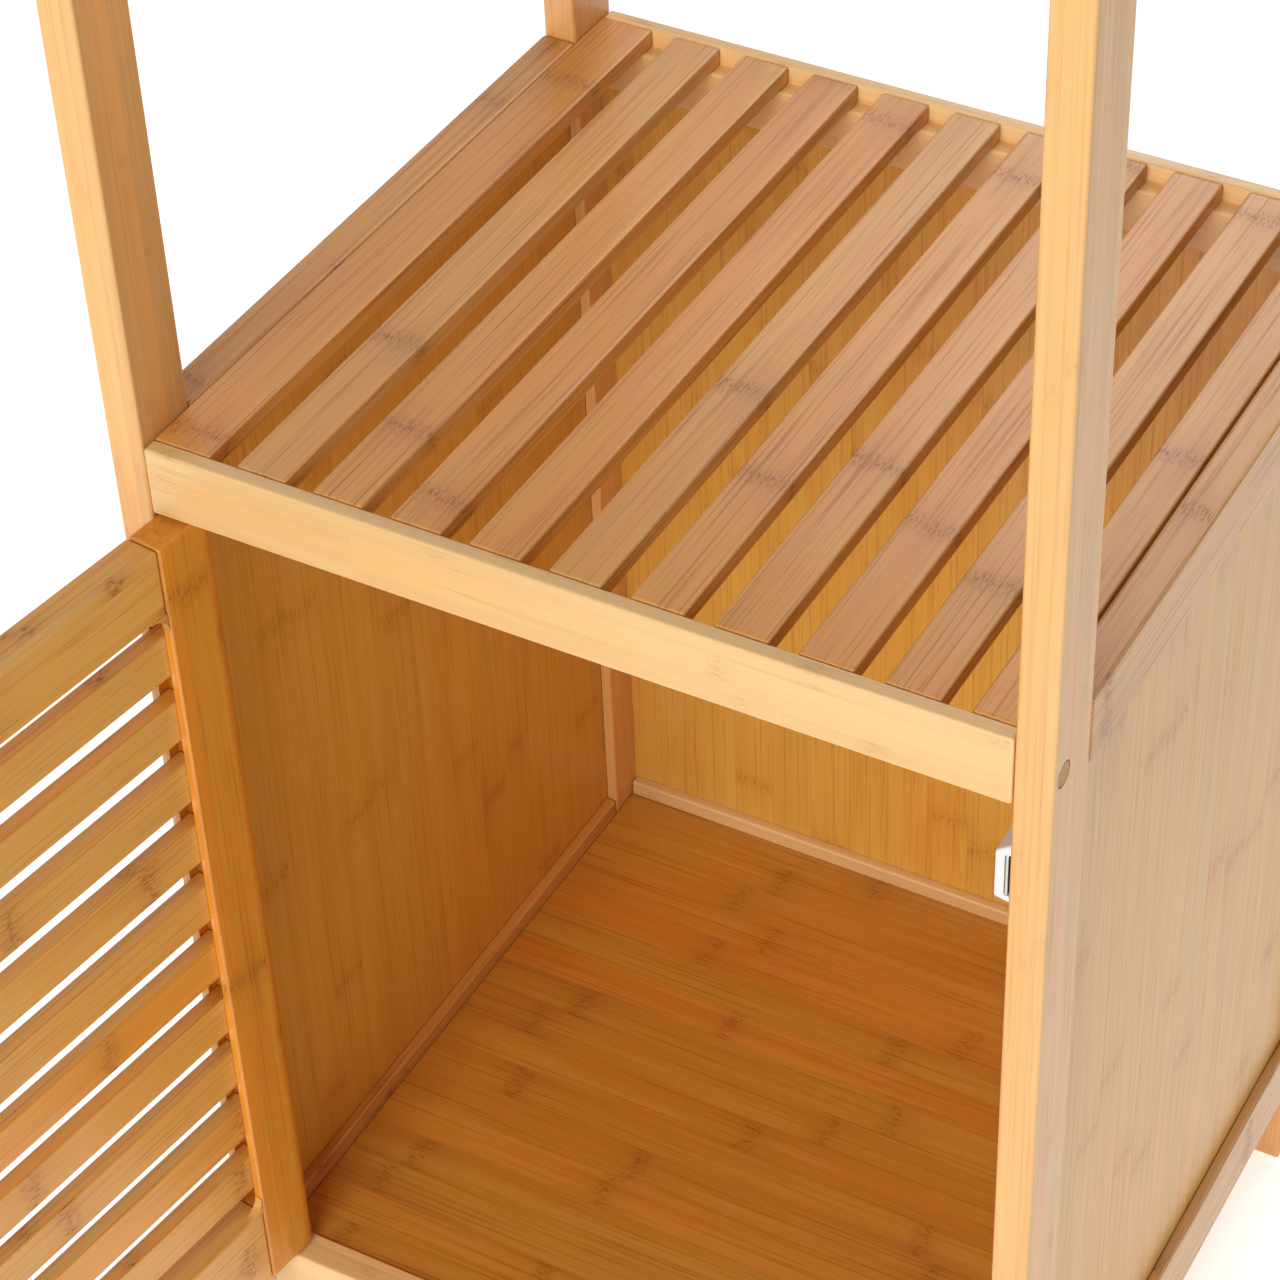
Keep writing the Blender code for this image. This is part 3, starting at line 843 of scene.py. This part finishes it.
@dataclass
class Shelf:
    """A shelf: side rails, cross rails with a rebate, and slats laid in the rebates."""

    bench: Bench
    prefix: str
    housed: bool = False
    slat_count: int = 11
    slat_edge: float = 0.0011
    lift: Vector = field(init=False)

    def __post_init__(self) -> None:
        """Find how high the shelf lies over the cabinet's top."""
        self.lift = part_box(self.node("left_rail"))[1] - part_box("cabinet_top_left_rail")[1]

    def build(self) -> None:
        """Make the shelf's rails and slats."""
        self.side_rails()
        self.cross_rail(End.FRONT)
        self.cross_rail(End.REAR)
        for number in range(1, self.slat_count + 1):
            self.slat(number)

    def node(self, tail: str) -> str:
        """Return the name of one of this shelf's nodes."""
        return f"{self.prefix}_{tail}"

    def stands_for(self, tail: str) -> str:
        """Return the node that a cross rail or a slat stands for."""
        return self.node(tail) if self.housed else self.node("deck")

    def like_cabinet_top(self, tail: str) -> Box:
        """Return where a piece of the cabinet's top lies when it is lifted to this shelf."""
        low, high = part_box(f"cabinet_top_{tail}")
        return low + self.lift, high + self.lift

    def side_rails(self) -> None:
        """Make the two side rails."""
        for side in Side:
            node = self.node(f"{side.value}_rail")
            rail = self.bench.board(f"{node}_bamboo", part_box(node), DEEP_TALL)
            if self.housed:
                self.bench.house(rail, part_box(f"{side.value}_side_panel"))
            self.bench.hand_over(rail, SLAT_BAMBOO, node)

    def cross_rail(self, end: End) -> None:
        """Make a cross rail with its rebate."""
        tail = f"{end.value}_rail"
        low, high = self.like_cabinet_top(tail)
        slat_low, slat_high = self.like_cabinet_top("slat_01")
        ledge = slat_low.z - JOINT
        if end is End.FRONT:
            lip = slat_low.y - JOINT
            outer, inner = low.y, high.y
        else:
            lip = slat_high.y + JOINT
            outer, inner = high.y, low.y
        outline = [(outer, low.z), (inner, low.z), (inner, ledge)]
        outline += [(lip, ledge), (lip, high.z), (outer, high.z)]
        rail = self.bench.bar(self.node(f"{tail}_bamboo"), outline, (low.x, high.x), ACROSS_TALL)
        if self.housed and end is End.REAR:
            self.bench.house(rail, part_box("back_panel"))
        self.bench.hand_over(rail, RAIL_BAMBOO, self.stands_for(tail))

    def slat(self, number: int) -> None:
        """Make one slat."""
        tail = f"slat_{number:02d}"
        name = self.node(f"{tail}_bamboo")
        slat = self.bench.board(name, self.like_cabinet_top(tail), DEEP_FLAT, self.slat_edge)
        self.bench.hand_over(slat, SLAT_BAMBOO, self.stands_for(tail))


@dataclass
class Cabinet:
    """The low rails and the panels of the cabinet."""

    bench: Bench
    panel_edge: float = 0.0006

    def build(self) -> None:
        """Make the four low rails and the four panels."""
        self.low_rail("low_front_rail", ACROSS_TALL, RAIL_BAMBOO, "cabinet_floor")
        self.low_rail("low_rear_rail", ACROSS_TALL, RAIL_BAMBOO, "cabinet_floor", "back_panel")
        self.low_rail("low_left_rail", DEEP_TALL, SLAT_BAMBOO, "left_side_panel")
        self.low_rail("low_right_rail", DEEP_TALL, SLAT_BAMBOO, "right_side_panel")
        # The floor takes the darker copy of the panels' bamboo, as painted shade.
        self.panel("cabinet_floor", ACROSS_FLAT, SHADED_FLOOR_BAMBOO)
        self.panel("left_side_panel", UPRIGHT_DEEP, PANEL_BAMBOO)
        self.panel("right_side_panel", UPRIGHT_DEEP, PANEL_BAMBOO)
        self.panel("back_panel", UPRIGHT_WIDE, PANEL_BAMBOO)

    def low_rail(self, node: str, lay: Lay, finish: Finish, *panels: str) -> None:
        """Make a low rail, grooved for the panels it holds."""
        rail = self.bench.board(f"{node}_bamboo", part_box(node), lay)
        for panel in panels:
            self.bench.house(rail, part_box(panel))
        self.bench.hand_over(rail, finish, node)

    def panel(self, node: str, lay: Lay, finish: Finish) -> None:
        """Make a panel of side-by-side strips."""
        panel = self.bench.board(f"{node}_bamboo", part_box(node), lay, self.panel_edge)
        self.bench.hand_over(panel, finish, node)


@dataclass
class Door:
    """The louvred door, made closed and turned open about its pivots."""

    slat_count: int = 10
    slat_edge: float = 0.0010
    fillet_radius: float = 0.008
    fillet_steps: int = 8
    root: float = 0.0005
    plate_edge: float = 0.00025
    bullnose_steps: int = 16
    pivot: Vector = field(init=False)
    bench: Bench = field(init=False)

    def __post_init__(self) -> None:
        """Find the pivots and how far the door stands open."""
        joint = next(joint for joint in frame["joints"] if joint["name"] == "door_hinge")
        self.pivot = Vector((joint["pos_m"][0], joint["pos_m"][1], 0.0))
        closing = math.radians(max(joint["range_deg"]))
        turn = Matrix.Translation(self.pivot) @ Matrix.Rotation(-closing, 4, "Z")
        self.bench = Bench(Body.DOOR, turn)

    def box(self, node: str) -> Box:
        """Return a node's box in the frame of the closed door."""
        home = self.bench.turn.inverted()
        corners = [home @ vertex.co for vertex in frame["nodes"][node].data.vertices]
        low = Vector([min(corner[place] for corner in corners) for place in range(3)])
        high = Vector([max(corner[place] for corner in corners) for place in range(3)])
        return low, high

    def build(self) -> None:
        """Make the door's frame, slats, knob and strike plate, and bore the hinge stile for the pivot pins.
        """
        self.stiles()
        self.rails()
        for number in range(1, self.slat_count + 1):
            node = f"door_slat_{number:02d}"
            slat = self.bench.board(f"{node}_bamboo", self.box(node), ACROSS_TALL, self.slat_edge)
            self.bench.hand_over(slat, DOOR_BAMBOO, node)
        self.knob()
        self.strike_plate()

    def groove(self) -> Box:
        """Return the space that the slats fill from stile to stile."""
        low, high = self.box("door_slat_01")
        low.z = self.box("door_bottom_rail")[1].z + JOINT
        high.z = self.box("door_top_rail")[0].z - JOINT
        return low, high

    def stiles(self) -> None:
        """Make the hinge stile with its round edge, and the free stile."""
        low, high = self.box("door_hinge_stile")
        outline = arc((0.0, 0.0), high.y, 90, 180, self.bullnose_steps)
        outline += [(high.x, low.y), (high.x, high.y)]
        stile = self.bench.bar("door_hinge_stile_bamboo", outline, (low.z, high.z), UPRIGHT_WIDE)
        self.bench.house(stile, self.groove())
        for tag in ("upper", "lower"):
            pin_low, pin_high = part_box(f"door_{tag}_pivot_pin")
            middle = Matrix.Translation((0.0, 0.0, (pin_low.z + pin_high.z) / 2))
            radius = (pin_high.x - pin_low.x) / 2
            self.bench.bore(stile, radius + JOINT, (pin_high.z - pin_low.z) / 2 + JOINT, middle)
        self.bench.hand_over(stile, STILE_BAMBOO, "door_hinge_stile")

        stile = self.bench.board("door_free_stile_bamboo", self.box("door_free_stile"), UPRIGHT_WIDE)
        self.bench.house(stile, self.groove())
        low, high = self.box("door_knob_screw")
        hole = Matrix.Translation(((low.x + high.x) / 2, 0.0, (low.z + high.z) / 2))
        across = hole @ Matrix.Rotation(math.radians(90), 4, "X")
        self.bench.bore(stile, self.knob_shank() + JOINT, (high.y - low.y), across)
        self.bench.hand_over(stile, STILE_BAMBOO, "door_free_stile")

    def knob_shank(self) -> float:
        """Return the radius of the knob's screw, from its head's."""
        low, high = self.box("door_knob_screw")
        head_radius = (high.z - low.z) / 2
        return head_radius * 4 / 9

    def rails(self) -> None:
        """Make the top and the bottom rail, with the round corners of the opening's lip."""
        slat_low, slat_high = self.box("door_slat_01")
        for node, edge_place, rising in (("door_top_rail", 0, -1.0), ("door_bottom_rail", 1, 1.0)):
            box = self.box(node)
            rail = self.bench.board(f"{node}_bamboo", box, ACROSS_TALL)
            face = box[1].y
            for x, inward in ((box[0].x, 1.0), (box[1].x, -1.0)):
                self.fillet(rail, (x, box[edge_place].z), inward, rising, (slat_high.y + JOINT, face))
            self.bench.hand_over(rail, DOOR_BAMBOO, node)

    def fillet(
        self, rail: bpy.types.Object, corner: Point, inward: float, rising: float, span: Point
    ) -> None:
        """Leave the router's round corner on a rail.

        Args:
            rail: The rail it belongs to.
            corner: The opening's square corner, across and up.
            inward: +1 or -1, towards the opening's middle along the rail.
            rising: +1 or -1, towards the opening's middle up or down.
            span: From the slats' face to the rail's face.
        """
        across, height = corner
        radius = self.fillet_radius
        curve = arc((radius, radius), radius, 180, 90, self.fillet_steps)
        outline = [(0.0, -self.root), *curve, (radius, -self.root)]
        placed = [(across + inward * a, height + rising * b) for a, b in outline]
        sharp = 0.00015
        tool = self.bench.bar("corner", placed, span, Lay(Axis.Y, Axis.X), sharp)
        self.bench.work(rail, tool, "UNION")

    def knob(self) -> None:
        """Make the turned knob and its screw."""
        low, high = self.box("door_knob")
        radius = (high.z - low.z) / 2
        length = high.y - low.y
        middle = (low + high) / 2
        foot = Vector((middle.x, high.y, middle.z))
        outward = Matrix.Translation(foot) @ Matrix.Rotation(math.radians(90), 4, "X")
        shape = (
            (0.50, 0.000),
            (0.52, 0.015),
            (0.52, 0.060),
            (0.45, 0.160),
            (0.43, 0.260),
            (0.50, 0.370),
            (0.72, 0.470),
            (0.92, 0.560),
            (1.00, 0.680),
            (0.99, 0.780),
            (0.90, 0.880),
            (0.72, 0.950),
            (0.44, 0.990),
            (0.10, 1.000),
        )
        profile = [(radius * share, length * height) for share, height in shape]
        knob = self.bench.turned("door_knob_bamboo", profile, outward)
        smooth = knob.modifiers.new("turned_smooth", "SUBSURF")
        smooth.levels = 1
        smooth.render_levels = 1
        self.bench.hand_over(knob, POST_BAMBOO, "door_knob")

        low, high = self.box("door_knob_screw")
        shank = self.knob_shank()
        head = (high.z - low.z) / 2
        total = high.y - low.y
        rise = 0.002
        profile = (
            (shank * 0.2, 0.0),
            (shank, shank * 1.6),
            (shank, total - rise),
            (head, total - rise),
            (head, total - rise * 0.60),
            (head * 0.86, total - rise * 0.22),
            (head * 0.55, total - rise * 0.04),
            (head * 0.20, total),
        )
        tip = Vector(((low.x + high.x) / 2, low.y, (low.z + high.z) / 2))
        stand = Matrix.Translation(tip) @ Matrix.Rotation(math.radians(-90), 4, "X")
        screw = self.bench.turned("door_knob_screw_steel", profile, stand)
        reach = head * 0.52
        slot = head * 0.11
        for half in (Vector((reach, rise, slot)), Vector((slot, rise, reach))):
            middle = Vector((tip.x, high.y + rise * 0.45, tip.z))
            recess = self.bench.board("recess", (middle - half, middle + half), ACROSS_FLAT, 0.0)
            self.bench.work(screw, recess)
        self.bench.hand_over(screw, ZINC_STEEL, "door_knob_screw")

    def strike_plate(self) -> None:
        """Make the steel plate that the magnet holds."""
        box = self.box("door_strike_plate")
        plate = self.bench.board("door_strike_plate_steel", box, UPRIGHT_WIDE, self.plate_edge)
        self.bench.hand_over(plate, ZINC_STEEL, "door_strike_plate")


@dataclass
class Ironmongery:
    """What holds the door on the tower's side: the pivot pins and the magnetic catch."""

    bench: Bench
    top_slope: float = 0.009
    foot_slope: float = 0.0025
    housing_edge: float = 0.0010
    pole_share: float = 0.34

    def build(self) -> None:
        """Make the pins and the catch."""
        for tag in ("upper", "lower"):
            self.pin(f"door_{tag}_pivot_pin")
        self.catch()

    def pin(self, node: str) -> None:
        """Make a pivot pin with rounded ends."""
        low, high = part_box(node)
        radius = (high.x - low.x) / 2
        half = (high.z - low.z) / 2
        nose = radius / 3
        profile = arc((radius - nose, nose - half), nose, 270, 90, 4)
        profile += arc((radius - nose, half - nose), nose, 0, 90, 4)
        pin = self.bench.turned(f"{node}_steel", profile, Matrix.Translation((low + high) / 2))
        self.bench.hand_over(pin, ZINC_STEEL, node)

    def catch(self) -> None:
        """Make the catch: a moulded housing, the magnet in its slot and a pole plate beside it."""
        low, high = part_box("catch_housing")
        magnet_low, magnet_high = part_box("catch_magnet")
        outline = [
            (high.x, low.z),
            (high.x, high.z),
            (low.x, high.z - self.top_slope),
            (low.x, low.z + self.foot_slope),
        ]
        span = (low.y, high.y)
        housing = self.bench.bar("catch_housing_plastic", outline, span, DEEP_TALL, self.housing_edge)
        mouth = Vector((magnet_low.x, low.y - MILLIMETRE, magnet_low.z))
        self.bench.house(housing, (mouth, magnet_high), (magnet_high.x - magnet_low.x) / 4)
        self.bench.hand_over(housing, CATCH_PLASTIC, "catch_housing")

        split = magnet_low.x + (magnet_high.x - magnet_low.x) * self.pole_share
        inset = Vector((0.0, 0.0004, 0.0))
        pole_high = Vector((split - JOINT / 2, magnet_high.y, magnet_high.z))
        pole = self.bench.board("catch_pole_plate_steel", (magnet_low, pole_high), UPRIGHT_WIDE, 0.0003)
        self.bench.hand_over(pole, ZINC_STEEL, "catch_magnet")
        core_low = Vector((split + JOINT / 2, magnet_low.y, magnet_low.z)) + inset
        core = self.bench.board("catch_magnet_core", (core_low, magnet_high), UPRIGHT_WIDE, 0.0004)
        self.bench.hand_over(core, MAGNET_CORE, "catch_magnet")


# ---------------------------------------------------------------------------------------
# The studio
# ---------------------------------------------------------------------------------------


@dataclass(frozen=True)
class Softbox:
    """A square area light, placed by its direction from the cabinet."""

    name: str
    azimuth: float
    elevation: float
    distance: float
    size: float
    power: float
    colour: Colour = (1.0, 1.0, 1.0)


def direction(azimuth: float, elevation: float) -> Vector:
    """Return the way towards a point seen at an azimuth and an elevation, in degrees."""
    around = math.radians(azimuth)
    up = math.radians(elevation)
    return Vector((math.sin(around) * math.cos(up), -math.cos(around) * math.cos(up), math.sin(up)))


@dataclass
class Studio:
    """A pale floor, soft light and the camera."""

    floor_half: float = 7.0
    floor_drop: float = 0.0005
    floor_colour: Colour = (0.92, 0.92, 0.92)
    floor_glow: float = 0.62
    ambient: float = 0.12
    backdrop: float = 1.0
    aim: tuple[float, float] = (0.2768, 0.0032)
    azimuth: float = 26.8
    elevation: float = 40.77
    distance: float = 1.1988
    lens: float = 100.0
    sensor: float = 36.0
    shift: float = -0.1506
    softboxes: tuple[Softbox, ...] = (
        Softbox("front_softbox", 5.0, 24.0, 2.6, 1.4, 54.0),
        Softbox("rear_softbox", 180.0, 42.0, 2.6, 1.8, 26.0),
    )

    def build(self) -> None:
        """Set the studio up round the tower."""
        low, high = CAD_BOX
        self.floor(low)
        self.world()
        middle = Vector(((low.x + high.x) / 2, (low.y + high.y) / 2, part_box("cabinet_top_slat_01")[1].z))
        for softbox in self.softboxes:
            self.light(softbox, middle)
        self.camera(middle.z)

    def floor(self, low: Vector) -> None:
        """Lay the floor under the tower's feet."""
        bench = PaintBench("pale_floor")
        place = bench.node("ShaderNodeTexCoord", None, None, "Object")
        cloud = bench.noise(place, 0.6)
        dimmer = tuple(channel * 0.985 for channel in self.floor_colour)
        bench.set_shader(
            {
                "Base Color": bench.mix(cloud, self.floor_colour, dimmer),
                "Roughness": 0.75,
                "Emission Color": (1.0, 1.0, 1.0),
                "Emission Strength": self.floor_glow,
            }
        )
        shape = bmesh.new()
        bmesh.ops.create_grid(shape, x_segments=8, y_segments=8, size=self.floor_half)
        mesh = bpy.data.meshes.new("studio_floor")
        shape.to_mesh(mesh)
        shape.free()
        mesh.materials.append(bench.material)
        floor = bpy.data.objects.new("studio_floor", mesh)
        floor.location = (0.0, 0.0, low.z - self.floor_drop)
        bpy.context.scene.collection.objects.link(floor)

    def world(self) -> None:
        """Fill the room with even light and keep the backdrop white."""
        world = bpy.data.worlds.new("studio")
        world.use_nodes = True
        nodes = world.node_tree.nodes
        links = world.node_tree.links
        background = nodes["Background"]
        background.inputs["Color"].default_value = (1.0, 1.0, 1.0, 1.0)
        sight = nodes.new("ShaderNodeLightPath")
        strength = nodes.new("ShaderNodeMapRange")
        strength.inputs["To Min"].default_value = self.backdrop
        strength.inputs["To Max"].default_value = self.ambient
        links.new(sight.outputs["Is Diffuse Ray"], strength.inputs["Value"])
        links.new(strength.outputs["Result"], background.inputs["Strength"])
        bpy.context.scene.world = world

    def light(self, softbox: Softbox, middle: Vector) -> None:
        """Hang one softbox, facing the cabinet."""
        lamp = bpy.data.lights.new(softbox.name, "AREA")
        lamp.shape = "SQUARE"
        lamp.size = softbox.size
        lamp.energy = softbox.power
        lamp.color = softbox.colour
        way = direction(softbox.azimuth, softbox.elevation)
        holder = bpy.data.objects.new(softbox.name, lamp)
        holder.location = middle + way * softbox.distance
        holder.rotation_euler = way.to_track_quat("Z", "Y").to_euler()
        bpy.context.scene.collection.objects.link(holder)

    def camera(self, height: float) -> None:
        """Stand the camera in front of the tower's right corner, looking down on the cabinet."""
        lens = bpy.data.cameras.new("camera")
        lens.lens = self.lens
        lens.sensor_width = self.sensor
        lens.shift_x = self.shift
        lens.clip_start = 0.05
        back = direction(self.azimuth, self.elevation)
        holder = bpy.data.objects.new("camera", lens)
        holder.location = Vector((*self.aim, height)) + back * self.distance
        holder.rotation_euler = back.to_track_quat("Z", "Y").to_euler()
        bpy.context.scene.collection.objects.link(holder)
        bpy.context.scene.camera = holder


def main() -> None:
    """Build the tower and the studio."""
    logging.basicConfig(level=logging.INFO, format="%(message)s")
    bpy.context.scene.view_settings.view_transform = "Standard"
    bench = Bench(Body.FRAME)
    Posts(bench).build()
    Shelf(bench, "cabinet_top", housed=True).build()
    Shelf(bench, "middle_shelf").build()
    Shelf(bench, "top_shelf").build()
    Cabinet(bench).build()
    Door().build()
    Ironmongery(bench).build()
    Studio().build()


if __name__ == "__main__":
    main()
